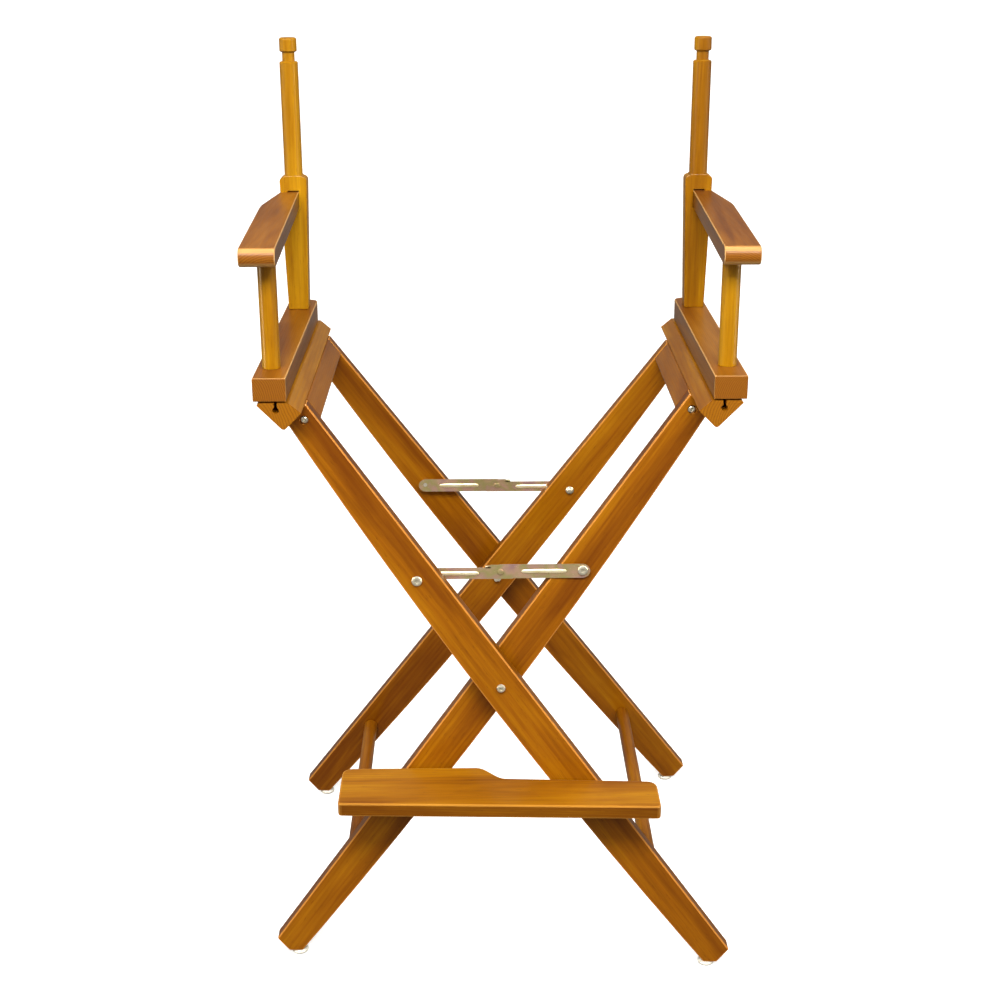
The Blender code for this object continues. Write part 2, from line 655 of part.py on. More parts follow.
def make_bracket(name, side):
    """Angle bracket on the front of a leg, under the footrest; side as for the legs."""
    x = REST_AT_X if side > 0 else FOOTREST_PIVOT[0]
    back = bracket_back(side, x)
    top = BOARD_Z[0] - GAP
    reach = 22.0 if side > 0 else 42.0
    points = [(-back, 228.0), (-back, top), (-back - reach, top), (-back - reach, top - PLATE),
              (-back - PLATE, top - PLATE), (-back - PLATE, 228.0)]
    side_view = Matrix(((0, 0, 1, 0), (1, 0, 0, SHIFT_Y * MM), (0, 1, 0, 0), (0, 0, 0, 1)))
    bracket = add_object(name, prism(points, x - 10, x + 10), zinc, side_view)
    holes = turned([(2.7, -8), (2.7, 8)], 16, place=along_y(x, FOOTREST_PIVOT[1], -back))
    if side < 0:
        for screw_x, y in board_screw_places():
            at = Matrix.Translation(metres(screw_x, y + SHIFT_Y, top))
            turned([(2.1, -6), (2.1, 6)], 12, into=holes, place=at)
    cut(bracket, holes)
    return bracket


def make_bracket_screw(name, side):
    """Screw that holds a bracket to its leg; on the inner leg the bracket turns about it."""
    x = REST_AT_X if side > 0 else FOOTREST_PIVOT[0]
    seat = bracket_back(side, x) + PLATE + GAP
    profile = head_profile(2.2, 4.4, 2.4, 14)
    return add_object(name, turned(profile, 16), zinc, along_y(x, FOOTREST_PIVOT[1], -seat, -1))


def make_board_screw(name, x, y):
    """Screw from below through the pivot bracket into the board."""
    seat = Matrix.Translation(metres(x, y + SHIFT_Y, BOARD_Z[0] - 2 * GAP - PLATE))
    profile = head_profile(1.7, 3.6, 1.8, 12)
    return add_object(name, turned(profile, 12), zinc, seat @ Matrix.Rotation(pi, 4, "X"))


# ---------------------------------------------------------------- assembly

def joint_empty(name, x, y, z, pieces):
    """Empty on a joint's axis that carries the pieces turning about it."""
    empty = bpy.data.objects.new(name, None)
    bpy.context.scene.collection.objects.link(empty)
    empty.location = metres(x, y + SHIFT_Y, z)
    for piece in pieces:
        piece.parent = empty
        piece.matrix_parent_inverse = Matrix.Translation(-empty.location)
    return empty


def build_frame(frame, side):
    """Legs, glides, rail, stretcher, rod and bolts of one frame; the outer frame has side +1."""
    foot = "right" if side > 0 else "left"
    top = "left" if side > 0 else "right"
    pieces = []
    for end, where in ((-1, "front"), (1, "rear")):
        pieces.append(make_leg(f"leg_{where}_{frame}", side, end))
        pieces.append(make_glide(f"glide_{where}_{foot}", side, end))
        pieces.append(make_stretcher_bolt(f"stretcher_bolt_{where}_{top}", side, end))
    pieces.append(make_rail(f"seat_rail_{top}", -side))
    pieces.append(make_stretcher(f"stretcher_{top}", side))
    pieces.append(make_rod(f"lower_rod_{foot}", side))
    pieces.append(make_hinge_plate(f"hinge_plate_rail_{top}", -side, False))
    return pieces


def build_arm(top, side):
    """Base board, posts, armrest and upper hinge plates of one arm on its hinge."""
    pieces = [make_base_board(f"base_board_{top}", side), make_front_post(f"front_post_{top}", side),
              make_rear_post(f"rear_post_{top}", side), make_armrest(f"armrest_{top}", side),
              make_hinge_plate(f"hinge_plate_arm_{top}", side, True)]
    return joint_empty(f"arm_hinge_{top}", side * HINGE_AT[0], 0, HINGE_AT[1], pieces)


def build_brace(end, where):
    """Two arms and the two rivet halves of one folding brace."""
    empties = []
    for side, hand, part in ((1, "left", "head"), (-1, "right", "tail")):
        pieces = [make_brace_arm(f"brace_arm_{where}_{hand}", side, end),
                  make_rivet(f"brace_rivet_{part}_{where}", side, end)]
        empties.append(joint_empty(f"brace_pivot_{where}_{hand}", -side * BRACE_BOLT[0],
                                   end * BRACE_OUTER_Y[0], BRACE_BOLT[1], pieces))
    return empties


def build_chair():
    """The whole chair; every empty below the fold axis belongs to the frame that carries it."""
    build_frame("outer", 1)
    for end, where in ((-1, "front"), (1, "rear")):
        make_pivot_bolt(f"pivot_bolt_{where}", end)
        make_pivot_spacer(f"pivot_spacer_{where}", end)
        make_pivot_nut(f"pivot_nut_{where}", end)
        make_brace_bolt_outer(f"brace_bolt_{where}_left", end)
        make_brace_spacer(f"brace_spacer_{where}", end)
    make_bracket("footrest_rest_bracket", 1)
    make_bracket_screw("footrest_rest_screw", 1)
    build_arm("left", -1)

    carried = build_frame("inner", -1)
    carried.append(make_bracket_screw("footrest_pivot_screw", -1))
    carried.append(build_arm("right", 1))
    for end, where in ((-1, "front"), (1, "rear")):
        carried.append(make_brace_bolt_inner(f"brace_bolt_{where}_right", end))
        carried.append(build_brace(end, where)[1])
    tread = [make_board("footrest_board"), make_bracket("footrest_pivot_bracket", -1)]
    for (x, y), where in zip(board_screw_places(), ("rear", "front")):
        tread.append(make_board_screw(f"footrest_board_screw_{where}", x, y))
    carried.append(joint_empty("footrest_pivot", FOOTREST_PIVOT[0], 0, FOOTREST_PIVOT[1], tread))
    joint_empty("main_fold", 0, 0, PIVOT_Z, carried)


for old in list(bpy.data.objects):
    bpy.data.objects.remove(old, do_unlink=True)
build_chair()
bpy.context.view_layer.update()
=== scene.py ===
"""Looks of the folding director chair: lacquered wood, plated braces, studio floor, light and camera."""
from math import cos, pi, sin

import bmesh
import bpy
from mathutils import Euler, Matrix, Vector


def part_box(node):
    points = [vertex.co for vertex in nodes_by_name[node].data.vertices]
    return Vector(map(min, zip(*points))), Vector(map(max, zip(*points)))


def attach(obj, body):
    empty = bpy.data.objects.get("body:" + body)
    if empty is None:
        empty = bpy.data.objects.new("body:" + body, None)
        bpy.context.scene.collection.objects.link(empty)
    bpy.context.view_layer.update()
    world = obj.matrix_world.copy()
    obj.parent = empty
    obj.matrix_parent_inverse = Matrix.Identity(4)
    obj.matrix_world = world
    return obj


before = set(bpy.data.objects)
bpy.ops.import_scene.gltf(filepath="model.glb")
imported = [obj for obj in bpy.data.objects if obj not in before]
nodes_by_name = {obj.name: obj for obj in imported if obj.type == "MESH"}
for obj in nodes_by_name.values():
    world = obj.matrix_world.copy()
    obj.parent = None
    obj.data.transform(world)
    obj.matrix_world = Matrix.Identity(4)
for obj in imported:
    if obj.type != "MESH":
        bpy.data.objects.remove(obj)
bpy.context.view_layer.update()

# Camera, in metres and radians, with its lens in millimetres
CAMERA_AT = (-0.0260, -2.00315, 1.2987)
CAMERA_PITCH = 0.34755
CAMERA_YAW = -0.01386
CAMERA_ROLL = 0.00219
CAMERA_LENS = 57.51
CAMERA_SENSOR = 36.0

# Legs, in radians: lean from the vertical as seen from the front, and splay towards front or rear
LEG_LEAN = 0.63314
LEG_SPLAY = 0.09134

# Studio, in metres
FLOOR_HALF = 60.0
BACKDROP_HIGH = 90
BACKDROP_SIDES = 64


def linked(made):
    """Put a new object in the scene."""
    bpy.context.scene.collection.objects.link(made)
    return made


# ---------------------------------------------------------------- node helpers

def start_material(name):
    """New node material, with its node tree and shader."""
    made = bpy.data.materials.new(name)
    made.use_nodes = True
    tree = made.node_tree
    return made, tree, tree.nodes["Principled BSDF"]


def add(tree, kind, **settings):
    """Node with its properties set."""
    made = tree.nodes.new(kind)
    for key, value in settings.items():
        setattr(made, key, value)
    return made


def maths(tree, operation, first, second=None):
    """Math node output; inputs are sockets or numbers."""
    made = add(tree, "ShaderNodeMath", operation=operation)
    for index, value in enumerate((first, second)):
        if value is None:
            continue
        if isinstance(value, (int, float)):
            made.inputs[index].default_value = value
        else:
            tree.links.new(value, made.inputs[index])
    return made.outputs[0]


def dot(tree, vector, direction):
    """Dot product of a vector socket with a fixed direction."""
    made = add(tree, "ShaderNodeVectorMath", operation="DOT_PRODUCT")
    tree.links.new(vector, made.inputs[0])
    made.inputs[1].default_value = direction
    return made.outputs["Value"]


def combine(tree, x, y, z):
    """Vector socket from three value sockets."""
    made = add(tree, "ShaderNodeCombineXYZ")
    for socket, value in zip(made.inputs, (x, y, z)):
        tree.links.new(value, socket)
    return made.outputs[0]


def noise(tree, vector, scale, detail=3.0, roughness=0.5, distortion=0.0):
    """Noise value at a vector socket."""
    made = add(tree, "ShaderNodeTexNoise")
    tree.links.new(vector, made.inputs["Vector"])
    made.inputs["Scale"].default_value = scale
    made.inputs["Detail"].default_value = detail
    made.inputs["Roughness"].default_value = roughness
    made.inputs["Distortion"].default_value = distortion
    return made.outputs["Fac"]


def ramp(tree, value, stops):
    """Colour ramp from (position, colour) stops."""
    made = add(tree, "ShaderNodeValToRGB")
    tree.links.new(value, made.inputs[0])
    band = made.color_ramp
    while len(band.elements) > 1:
        band.elements.remove(band.elements[-1])
    for index, (position, colour) in enumerate(stops):
        element = band.elements[0] if index == 0 else band.elements.new(position)
        element.position = position
        element.color = (*colour, 1.0)
    return made.outputs["Color"]


def grey_ramp(tree, value, low, high):
    """Clamped ramp from 0 at low to 1 at high."""
    made = add(tree, "ShaderNodeMapRange", clamp=True)
    tree.links.new(value, made.inputs["Value"])
    made.inputs["From Min"].default_value = low
    made.inputs["From Max"].default_value = high
    return made.outputs["Result"]


def mix(tree, blend, factor, first, second):
    """Colour mix; factor is a socket or a number, colours are sockets or tuples."""
    made = add(tree, "ShaderNodeMix", data_type="RGBA", blend_type=blend)
    if isinstance(factor, (int, float)):
        made.inputs["Factor"].default_value = factor
    else:
        tree.links.new(factor, made.inputs["Factor"])
    for socket, value in ((made.inputs[6], first), (made.inputs[7], second)):
        if isinstance(value, tuple):
            socket.default_value = (*value, 1.0)
        else:
            tree.links.new(value, socket)
    return made.outputs[2]


def srgb(red, green, blue):
    """Linear colour from 0-255 display values."""
    def channel(value):
        value /= 255
        return value / 12.92 if value <= 0.04045 else ((value + 0.055) / 1.055) ** 2.4
    return channel(red), channel(green), channel(blue)


def bumped(tree, shader, height, strength, distance):
    """Bump the shader's surface by a height socket."""
    bump = add(tree, "ShaderNodeBump")
    bump.inputs["Strength"].default_value = strength
    bump.inputs["Distance"].default_value = distance
    tree.links.new(height, bump.inputs["Height"])
    tree.links.new(bump.outputs[0], shader.inputs["Normal"])


# ---------------------------------------------------------------- wood

# Noise patterns are stretched along the grain by these factors
SLOW_STRETCH = 0.10
FINE_STRETCH = 0.035
PORE_STRETCH = 0.09

# Colours that darken the wood where they are multiplied in
CLOUD_TINT = (0.72, 0.62, 0.45)
STREAK_TINTS = ((0.62, 0.52, 0.40), (1.16, 1.14, 1.1))
LATE_WOOD_TINT = (0.62, 0.42, 0.22)
# Darkens the narrow side faces: partly the darker stain they take, partly painted shade for the light from
# above
SIDE_SHADE_TINT = (0.40, 0.28, 0.16)
END_DOT_TINT = (0.55, 0.42, 0.28)

LACQUER_ROUGHNESS = 0.30


def wood(name, axes, palette, centre=(0.05, 0.03), ring=0.0032, shift=0.0, edge=0.5, rim=0.0):
    """Solid lacquered wood: growth rings round an axis along the grain, fibres, pores and end grain.

    axes are the across, thickness and grain directions; palette is the dark, middle, light and pore colour
    and the pale colour of the painted edge highlight. centre is where the axis of the rings crosses the first
    two axes, and ring their width.
    edge is how far the narrow side faces are darkened, partly their darker stain and partly painted shade,
    and rim how strongly a painted highlight lies on their rounded corners.
    """
    made, tree, shader = start_material(name)
    coord = add(tree, "ShaderNodeTexCoord")
    across, thick, along = (dot(tree, coord.outputs["Object"], axis) for axis in axes)
    along = maths(tree, "ADD", along, shift)
    solid = combine(tree, across, thick, along)
    slow = combine(tree, across, thick, maths(tree, "MULTIPLY", along, SLOW_STRETCH))
    fine = combine(tree, across, thick, maths(tree, "MULTIPLY", along, FINE_STRETCH))

    sway = maths(tree, "MULTIPLY", maths(tree, "SUBTRACT", noise(tree, slow, 9.0, 2.0), 0.5), 0.030)
    ripple = maths(tree, "MULTIPLY", maths(tree, "SUBTRACT", noise(tree, slow, 60.0, 3.0), 0.5), 0.004)
    off_x = maths(tree, "ADD", maths(tree, "SUBTRACT", across, centre[0]), sway)
    off_y = maths(tree, "SUBTRACT", thick, centre[1])
    radius = maths(tree, "SQRT", maths(tree, "ADD", maths(tree, "MULTIPLY", off_x, off_x),
                                       maths(tree, "MULTIPLY", off_y, off_y)))
    radius = maths(tree, "ADD", radius, ripple)
    season = maths(tree, "FRACT", maths(tree, "DIVIDE", radius, ring))
    late = grey_ramp(tree, maths(tree, "ABSOLUTE", maths(tree, "SUBTRACT", season, 0.5)), 0.16, 0.47)

    dark, middle, light, pore, painted_highlight = palette
    patch = noise(tree, slow, 26.0, 4.0, 0.6, 0.4)
    fibre = noise(tree, fine, 420.0, 4.0, 0.65)
    tone = ramp(tree, patch, [(0.34, dark), (0.50, middle), (0.66, light)])
    cloud = grey_ramp(tree, noise(tree, solid, 7.0, 3.0, 0.6, 0.6), 0.62, 0.38)
    tone = mix(tree, "MULTIPLY", maths(tree, "MULTIPLY", cloud, 0.36), tone, CLOUD_TINT)
    streak = grey_ramp(tree, fibre, 0.35, 0.70)
    tone = mix(tree, "MULTIPLY", 0.40, tone, ramp(tree, streak, list(enumerate(STREAK_TINTS))))
    tone = mix(tree, "MULTIPLY", maths(tree, "MULTIPLY", late, 0.26), tone, LATE_WOOD_TINT)

    specks = combine(tree, across, thick, maths(tree, "MULTIPLY", along, PORE_STRETCH))
    pores = grey_ramp(tree, noise(tree, specks, 900.0, 2.0, 0.5), 0.66, 0.74)
    tone = mix(tree, "MIX", maths(tree, "MULTIPLY", pores, 0.45), tone, pore)

    side, flat, facing = (maths(tree, "ABSOLUTE", dot(tree, coord.outputs["Normal"], axis)) for axis in axes)
    # Narrow side faces, across the thickness, are darkened: partly darker stain, partly painted shade
    side_shade = maths(tree, "MULTIPLY", grey_ramp(tree, flat, 0.55, 0.20), edge)
    tone = mix(tree, "MULTIPLY", side_shade, tone, SIDE_SHADE_TINT)
    # Painted highlight: rounded edges and corners, where the normal lies between the faces, are mixed towards
    # the pale fifth palette colour
    squareness = maths(tree, "MAXIMUM", maths(tree, "MAXIMUM", side, flat), facing)
    rounded = grey_ramp(tree, squareness, 0.985, 0.90)
    tone = mix(tree, "MIX", maths(tree, "MULTIPLY", rounded, rim), tone, painted_highlight)

    end = grey_ramp(tree, facing, 0.75, 0.92)
    dots = grey_ramp(tree, noise(tree, solid, 1500.0, 2.0), 0.50, 0.68)
    rings = ramp(tree, late, [(0.0, middle), (0.7, tuple(0.8 * c for c in middle)), (1.0, dark)])
    rings = mix(tree, "MULTIPLY", maths(tree, "MULTIPLY", dots, 0.40), rings, END_DOT_TINT)
    tone = mix(tree, "MIX", end, tone, rings)
    tree.links.new(tone, shader.inputs["Base Color"])

    rough = maths(tree, "ADD", maths(tree, "MULTIPLY", streak, 0.08), LACQUER_ROUGHNESS)
    rough = maths(tree, "ADD", rough, maths(tree, "MULTIPLY", end, 0.15))
    tree.links.new(rough, shader.inputs["Roughness"])
    shader.inputs["IOR"].default_value = 1.25
    shader.inputs["Coat Weight"].default_value = 0.12
    shader.inputs["Coat Roughness"].default_value = 0.12
    bumped(tree, shader, maths(tree, "SUBTRACT", fibre, maths(tree, "MULTIPLY", pores, 0.6)), 0.22, 0.0004)
    return made


# Dark, middle, light and pore colour, and the pale colour that paints a highlight on the rounded edges
LEG_PALETTE = (srgb(122, 66, 2), srgb(148, 88, 3), srgb(166, 106, 6), srgb(74, 32, 2), srgb(222, 148, 66))
ARM_PALETTE = (srgb(144, 92, 3), srgb(168, 116, 5), srgb(188, 138, 14), srgb(104, 56, 3), srgb(220, 174, 90))
RAIL_PALETTE = (srgb(126, 70, 3), srgb(150, 92, 6), srgb(172, 116, 16), srgb(84, 40, 3), srgb(204, 150, 72))
TOP_PALETTE = (srgb(112, 60, 8), srgb(138, 82, 14), srgb(162, 106, 30), srgb(74, 34, 4), srgb(222, 174, 108))
STEP_PALETTE = (srgb(132, 76, 3), srgb(160, 102, 4), srgb(180, 124, 12), srgb(72, 34, 2), srgb(214, 150, 62))


def leg_axes(side, end):
    """Across, thickness and grain directions of a leg; side +1 is the outer frame, end -1 the front."""
    across = Vector((side * cos(LEG_LEAN), 0, sin(LEG_LEAN)))
    up = Vector((-side * sin(LEG_LEAN) * cos(LEG_SPLAY), -end * sin(LEG_SPLAY),
                 cos(LEG_LEAN) * cos(LEG_SPLAY)))
    return across, across.cross(up), up


# Across, thickness and grain directions of the other wooden pieces
ALONG_Y = (Vector((1, 0, 0)), Vector((0, 0, 1)), Vector((0, 1, 0)))
ALONG_Z = (Vector((1, 0, 0)), Vector((0, 1, 0)), Vector((0, 0, 1)))
ALONG_X = (Vector((0, 1, 0)), Vector((0, 0, 1)), Vector((1, 0, 0)))


# ---------------------------------------------------------------- metal and nylon

def plated(name, stops, rough):
    """Zinc plating whose passivation colour drifts over the surface, with fine brushing."""
    made, tree, shader = start_material(name)
    coord = add(tree, "ShaderNodeTexCoord")
    drift = noise(tree, coord.outputs["Object"], 34.0, 2.0, 0.5, 0.4)
    tree.links.new(ramp(tree, drift, stops), shader.inputs["Base Color"])
    grain = noise(tree, coord.outputs["Object"], 900.0, 3.0)
    rough_value = maths(tree, "ADD", maths(tree, "MULTIPLY", grain, 0.16), rough - 0.08)
    tree.links.new(rough_value, shader.inputs["Roughness"])
    shader.inputs["Metallic"].default_value = 0.6
    bumped(tree, shader, grain, 0.12, 0.0002)
    return made


def yellow_zinc():
    return plated("yellow_zinc", [(0.30, srgb(188, 150, 146)), (0.42, srgb(206, 170, 142)),
                                  (0.54, srgb(178, 168, 112)), (0.64, srgb(196, 158, 140)),
                                  (0.75, srgb(204, 186, 140))], 0.24)


def bright_zinc():
    return plated("bright_zinc", [(0.3, srgb(196, 190, 168)), (0.5, srgb(214, 208, 190)),
                                  (0.7, srgb(186, 178, 150))], 0.24)


# Pale plating for the pressed ribs: a painted highlight for the light the rib tops catch
def rib_highlight_zinc():
    return plated("yellow_zinc_rib_highlight", [(0.3, srgb(236, 224, 176)), (0.5, srgb(250, 242, 206)),
                                       (0.7, srgb(226, 208, 150))], 0.30)


def nylon():
    """Slightly translucent white foot plastic with a scuffed rim."""
    made, tree, shader = start_material("nylon_white")
    coord = add(tree, "ShaderNodeTexCoord")
    scuff = noise(tree, coord.outputs["Object"], 260.0, 4.0, 0.6)
    tone = ramp(tree, scuff, [(0.35, srgb(214, 208, 190)), (0.60, srgb(236, 233, 222))])
    tree.links.new(tone, shader.inputs["Base Color"])
    rough = maths(tree, "ADD", maths(tree, "MULTIPLY", scuff, 0.3), 0.3)
    tree.links.new(rough, shader.inputs["Roughness"])
    shader.inputs["Subsurface Weight"].default_value = 0.1
    shader.inputs["Subsurface Radius"].default_value = (0.004, 0.004, 0.003)
    return made


# ---------------------------------------------------------------- finishing the CAD nodes

def paint(node, finish):
    """Give a CAD node its material."""
    target = nodes_by_name[node]
    target.data.materials.clear()
    target.data.materials.append(finish)


def lacquer(node, axes, palette, **grain):
    """Give a CAD node a wood of its own."""
    paint(node, wood(f"{node}_wood", axes, palette, **grain))


def soften(node, width):
    """Round the sharp edges of a CAD node."""
    bevel = nodes_by_name[node].modifiers.new("softened edges", "BEVEL")
    bevel.width = width
    bevel.segments = 2
    bevel.limit_method = "ANGLE"
    bevel.angle_limit = pi / 5


def dress_legs():
    for side, which in ((1, "outer"), (-1, "inner")):
        for end, where in ((-1, "front"), (1, "rear")):
            lacquer(f"leg_{where}_{which}", leg_axes(side, end), LEG_PALETTE,
                    centre=(0.03 * side, end * 0.05), ring=0.006, shift=0.37 * side + 0.83 * end, rim=0.8)
    for hand in ("left", "right"):
        lacquer(f"stretcher_{hand}", ALONG_Y, LEG_PALETTE, shift=0.21)


def dress_arms():
    for sign, hand in ((-1, "left"), (1, "right")):
        lacquer(f"seat_rail_{hand}", ALONG_Y, RAIL_PALETTE, centre=(sign * 0.30, 0.74),
                shift=sign * 0.4, edge=0.2)
        soften(f"seat_rail_{hand}", 0.0008)
        lacquer(f"base_board_{hand}", ALONG_Y, TOP_PALETTE, centre=(sign * 0.335, 0.755),
                ring=0.0024, shift=sign * 0.7, edge=0.4, rim=0.8)
        lacquer(f"armrest_{hand}", ALONG_Y, TOP_PALETTE, centre=(sign * 0.26, 0.88),
                ring=0.0026, shift=sign * 1.1, edge=0.5, rim=0.6)
        lacquer(f"front_post_{hand}", ALONG_Z, ARM_PALETTE, centre=(sign * 0.26, -0.2),
                shift=sign * 0.9, edge=0.0)
        lacquer(f"rear_post_{hand}", ALONG_Z, ARM_PALETTE, centre=(sign * 0.29, 0.12),
                shift=sign * 0.3, edge=0.0)
        lacquer(f"lower_rod_{hand}", ALONG_Y, RAIL_PALETTE, centre=(sign * 0.21, 0.10),
                shift=sign * 0.5, edge=0.0)
    lacquer("footrest_board", ALONG_X, STEP_PALETTE, centre=(-0.24, 0.20),
            ring=0.0030, shift=0.6, edge=0.7, rim=0.6)


HARDWARE = ("bolt", "nut", "spacer", "screw", "rivet", "bracket", "hinge_plate")


def dress_metal():
    """Dress the hardware and the feet, and return the two platings for the added pieces."""
    yellow = yellow_zinc()
    bright = bright_zinc()
    white = nylon()
    for node in nodes_by_name:
        if node.startswith("brace_arm"):
            paint(node, yellow)
            soften(node, 0.0003)
        elif node.startswith("glide"):
            paint(node, white)
            soften(node, 0.0006)
        elif any(part in node for part in HARDWARE):
            paint(node, yellow if "rivet" in node or "bracket" in node else bright)
            soften(node, 0.0003)
    return yellow, bright


# ---------------------------------------------------------------- studio

def aimed(name, kind, place, target, **settings):
    """Light at a place, pointing at a target."""
    data = bpy.data.lights.new(name, kind)
    for key, value in settings.items():
        setattr(data, key, value)
    lamp = linked(bpy.data.objects.new(name, data))
    lamp.location = place
    lamp.rotation_euler = (Vector(target) - Vector(place)).to_track_quat("-Z", "Y").to_euler()
    return lamp


def stage_surface(name, surface, corners, faces, grey, specular, glow):
    """Matt, faintly glowing stage surface that neither lights the chair nor shows in its gloss."""
    mesh = bpy.data.meshes.new(name)
    mesh.from_pydata(corners, [], faces)
    made = linked(bpy.data.objects.new(name, mesh))
    made.visible_glossy = False
    made.visible_diffuse = False
    material, _, shader = start_material(surface)
    shader.inputs["Base Color"].default_value = (grey, grey, grey, 1)
    shader.inputs["Roughness"].default_value = 0.9
    shader.inputs["Specular IOR Level"].default_value = specular
    shader.inputs["Emission Color"].default_value = (1, 1, 1, 1)
    shader.inputs["Emission Strength"].default_value = glow
    mesh.materials.append(material)
    return made


def studio():
    """Pale floor and backdrop, soft lights from above, a strip box at each side and a dim world."""
    half, sides = FLOOR_HALF, BACKDROP_SIDES
    corners = [(-half, -half, 0), (half, -half, 0), (half, half, 0), (-half, half, 0)]
    floor = stage_surface("floor", "pale_floor", corners, [(0, 1, 2, 3)], 0.93, 0.1, 0.52)
    around = [(half * cos(2 * pi * step / sides), half * sin(2 * pi * step / sides)) for step in range(sides)]
    corners = [(x, y, z) for z in (0, BACKDROP_HIGH) for x, y in around]
    faces = [(step, (step + 1) % sides, sides + (step + 1) % sides, sides + step) for step in range(sides)]
    backdrop = stage_surface("backdrop", "white_backdrop", corners, faces, 0.9, 0.5, 0.9)
    backdrop.visible_shadow = False
    world = bpy.data.worlds.new("surround")
    world.use_nodes = True
    background = world.node_tree.nodes["Background"]
    background.inputs["Color"].default_value = (1.0, 0.91, 0.76, 1)
    background.inputs["Strength"].default_value = 0.30
    bpy.context.scene.world = world
    aim = (0, 0, 0.6)
    aimed("key", "SUN", (-1.6, -2.0, 3.0), aim, energy=1.35, angle=0.7)
    aimed("fill", "SUN", (1.8, -1.4, 2.8), aim, energy=1.0, angle=0.9)
    back = aimed("back", "SUN", (0.4, 2.4, 2.2), aim, energy=0.8, angle=1.0)
    back.visible_glossy = False
    aimed("top_box", "AREA", (0.0, -1.6, 2.2), (0, 0, 0.7),
          shape="RECTANGLE", size=1.6, size_y=0.7, energy=68)
    for sign in (-1, 1):
        strip = aimed(f"strip_{sign + 1}", "AREA", (sign * 2.2, -0.5, 1.2), (0, 0, 0.8),
                      shape="RECTANGLE", size=0.25, size_y=2.6, energy=45, color=(1.0, 0.84, 0.58))
        strip.visible_diffuse = False
    bpy.context.scene.view_settings.view_transform = "Standard"


def camera():
    data = bpy.data.cameras.new("camera")
    data.lens = CAMERA_LENS
    data.sensor_width = CAMERA_SENSOR
    made = linked(bpy.data.objects.new("camera", data))
    aim = Euler((pi / 2 - CAMERA_PITCH, 0, CAMERA_YAW)).to_matrix().to_4x4()
    made.matrix_world = Matrix.Translation(CAMERA_AT) @ aim @ Matrix.Rotation(-CAMERA_ROLL, 4, "Z")
    bpy.context.scene.camera = made


# ---------------------------------------------------------------- pieces the CAD has no node for

# Brace arms, in metres
BRACE_BOLT_X = 0.104
NARROW_ARM_Z = 0.5272                # middle of the arms that are narrower and have a stop tab
WIDE_ARM_Z = 0.529

RIB_SPAN = (0.020, 0.078)            # from the leg bolt
RIB_HALF = 0.0030
RIB_TIP = 0.00015                    # half width left at the very ends
RIB_HIGH = 0.0015
RIB_SINK = 0.0003
RIB_ROWS, RIB_COLUMNS = 28, 8

TAB_X = 0.0155
TAB_RISE = 0.0072                    # above the middle of the arm
TAB_DEPTH = 0.0026

# Radius and height of each ring from the seat outward
NUT_PROFILE = ((0.0056, 0.0), (0.0056, 0.0011), (0.0042, 0.0012),
               (0.0040, 0.0024), (0.0031, 0.0034), (0.0016, 0.0039))
SCREW_PROFILE = ((0.0026, -0.0004), (0.0026, 0.0002), (0.0022, 0.0008), (0.0014, 0.0011), (0.0006, 0.0012))
CAP_STEPS = 24
NUT_SINK = 0.0012

# Seats of the hinge screws on the right: side of the base board, and slanted face of the rail
ARM_SCREW_X = 0.2941
ARM_SCREW_DROP = 0.0065              # below the top of the plate
RAIL_SCREW_X = 0.2807
RAIL_SCREW_Z = 0.7509
RAIL_FACE = (0.717, 0, -0.697)
SCREW_SHARES = (0.24, 0.76)          # along the plate


def new_piece(name, shape, body, finish):
    """New rigid piece on a body, from a closed bmesh, in a material."""
    bmesh.ops.recalc_face_normals(shape, faces=shape.faces)
    mesh = bpy.data.meshes.new(name)
    shape.to_mesh(mesh)
    shape.free()
    piece = linked(bpy.data.objects.new(name, mesh))
    mesh.materials.append(finish)
    for face in mesh.polygons:
        face.use_smooth = True
    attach(piece, body)
    return piece


def pressed_rib(name, bolt_x, face_y, middle_z, body, finish):
    """Long low rib pressed out of the front face of an arm, with tapered round ends."""
    inward = -1 if bolt_x > 0 else 1
    start, stop = RIB_SPAN
    shape = bmesh.new()
    grid = []
    for row in range(RIB_ROWS + 1):
        share = row / RIB_ROWS
        taper = (1 - abs(2 * share - 1) ** 7) ** 0.5
        half = RIB_HALF * taper + RIB_TIP
        x = bolt_x + inward * (start + (stop - start) * share)
        line = []
        for column in range(RIB_COLUMNS + 1):
            turn = pi * column / RIB_COLUMNS
            z = middle_z + half * cos(turn)
            y = face_y + RIB_SINK - (RIB_HIGH + RIB_SINK) * sin(turn) * taper
            line.append(shape.verts.new((x, y, z)))
        grid.append(line)
    for first, second in zip(grid, grid[1:]):
        for column in range(-1, RIB_COLUMNS):
            after = column + 1
            shape.faces.new((first[column], first[after], second[after], second[column]))
    shape.faces.new(grid[0])
    shape.faces.new(list(reversed(grid[-1])))
    return new_piece(name, shape, body, finish)


def stop_tab(name, centre_x, face_y, top_z, body, finish):
    """Small tab folded over from the top edge of an arm, which stops the brace when it is straight."""
    half, high, sheet, sink, outer_bend, inner_bend = 0.0036, 0.0028, 0.0012, 0.0006, 0.001, 0.0004
    foot, peak = top_z - sink, top_z + high
    outline = [(face_y, foot), (face_y, peak - outer_bend), (face_y + outer_bend, peak),
               (face_y + TAB_DEPTH, peak), (face_y + TAB_DEPTH, peak - sheet),
               (face_y + sheet + inner_bend, peak - sheet), (face_y + sheet, peak - sheet - sink),
               (face_y + sheet, foot)]
    shape = bmesh.new()
    ends = [[shape.verts.new((centre_x + side * half, y, z)) for y, z in outline] for side in (-1, 1)]
    shape.faces.new(ends[0])
    shape.faces.new(list(reversed(ends[1])))
    for index in range(len(outline)):
        after = (index + 1) % len(outline)
        shape.faces.new((ends[0][after], ends[0][index], ends[1][index], ends[1][after]))
    tab = new_piece(name, shape, body, finish)
    bevel = tab.modifiers.new("rounded edges", "BEVEL")
    bevel.width = 0.0003
    bevel.segments = 2


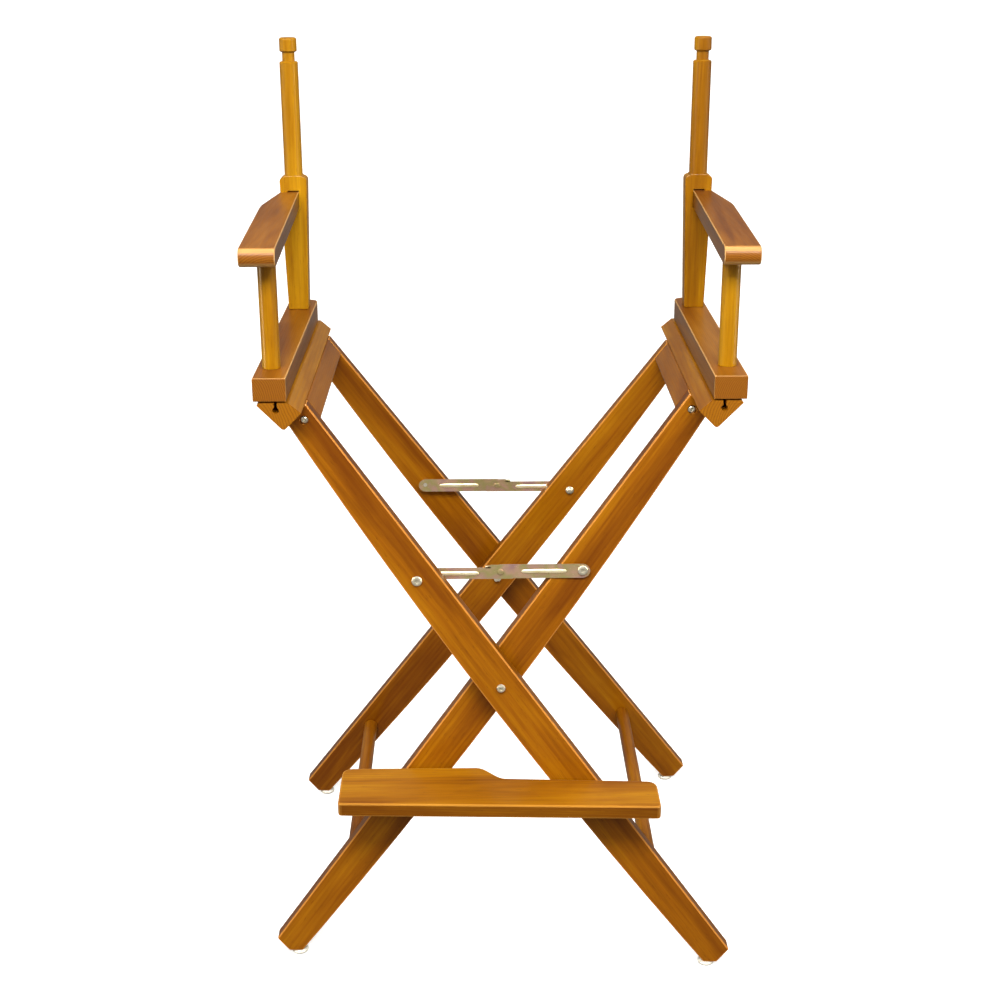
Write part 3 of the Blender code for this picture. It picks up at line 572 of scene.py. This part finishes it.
def turned_cap(name, seat, out, profile, body, finish):
    """Round head whose axis points along out, from its seat."""
    side = out.orthogonal().normalized()
    other = out.cross(side)
    turns = [2 * pi * step / CAP_STEPS for step in range(CAP_STEPS)]
    shape = bmesh.new()
    rings = [[shape.verts.new(seat + out * height + (side * cos(turn) + other * sin(turn)) * radius)
              for turn in turns] for radius, height in profile]
    for first, second in zip(rings, rings[1:]):
        for step in range(CAP_STEPS):
            after = (step + 1) % CAP_STEPS
            shape.faces.new((first[step], first[after], second[after], second[step]))
    shape.faces.new(rings[0])
    shape.faces.new(list(reversed(rings[-1])))
    return new_piece(name, shape, body, finish)


def screw_hinges(bright):
    """Two screws in each hinge plate: on the side of the base board and on the slanted face of the rail."""
    for sign, hand, frame_body in ((-1, "left", "outer_frame"), (1, "right", "inner_frame")):
        arm_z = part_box(f"hinge_plate_arm_{hand}")[1].z - ARM_SCREW_DROP
        for part, body, x, z, face in (("arm", f"{hand}_arm", ARM_SCREW_X, arm_z, (1, 0, 0)),
                                       ("rail", frame_body, RAIL_SCREW_X, RAIL_SCREW_Z, RAIL_FACE)):
            low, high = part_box(f"hinge_plate_{part}_{hand}")
            out = Vector((sign * face[0], face[1], face[2]))
            for index, share in enumerate(SCREW_SHARES, 1):
                seat = Vector((sign * x, low.y + (high.y - low.y) * share, z))
                turned_cap(f"hinge_screw_{part}_{hand}_{index}", seat, out, SCREW_PROFILE, body, bright)


def press_braces(yellow, bright):
    """Ribs and stop tabs of the brace arms, and the nut on the rear right one."""
    # The ribs get the pale plating, a painted highlight
    painted_highlight = rib_highlight_zinc()
    for where in ("front", "rear"):
        for sign, hand in ((-1, "left"), (1, "right")):
            face_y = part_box(f"brace_arm_{where}_{hand}")[0].y
            body = f"{where}_brace_{hand}"
            narrow = (where == "front") == (hand == "left")
            middle = NARROW_ARM_Z if narrow else WIDE_ARM_Z
            pressed_rib(f"rib_{where}_{hand}", sign * BRACE_BOLT_X, face_y, middle, body, painted_highlight)
            if narrow:
                stop_tab(f"tab_{where}_{hand}", sign * TAB_X, face_y, middle + TAB_RISE, body, yellow)
    low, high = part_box("brace_bolt_rear_right")
    seat = Vector(((low.x + high.x) / 2, low.y + NUT_SINK, (low.z + high.z) / 2))
    turned_cap("brace_nut_rear_right", seat, Vector((0, -1, 0)), NUT_PROFILE, "inner_frame", bright)


camera()
studio()
dress_legs()
dress_arms()
yellow, bright = dress_metal()
press_braces(yellow, bright)
screw_hinges(bright)
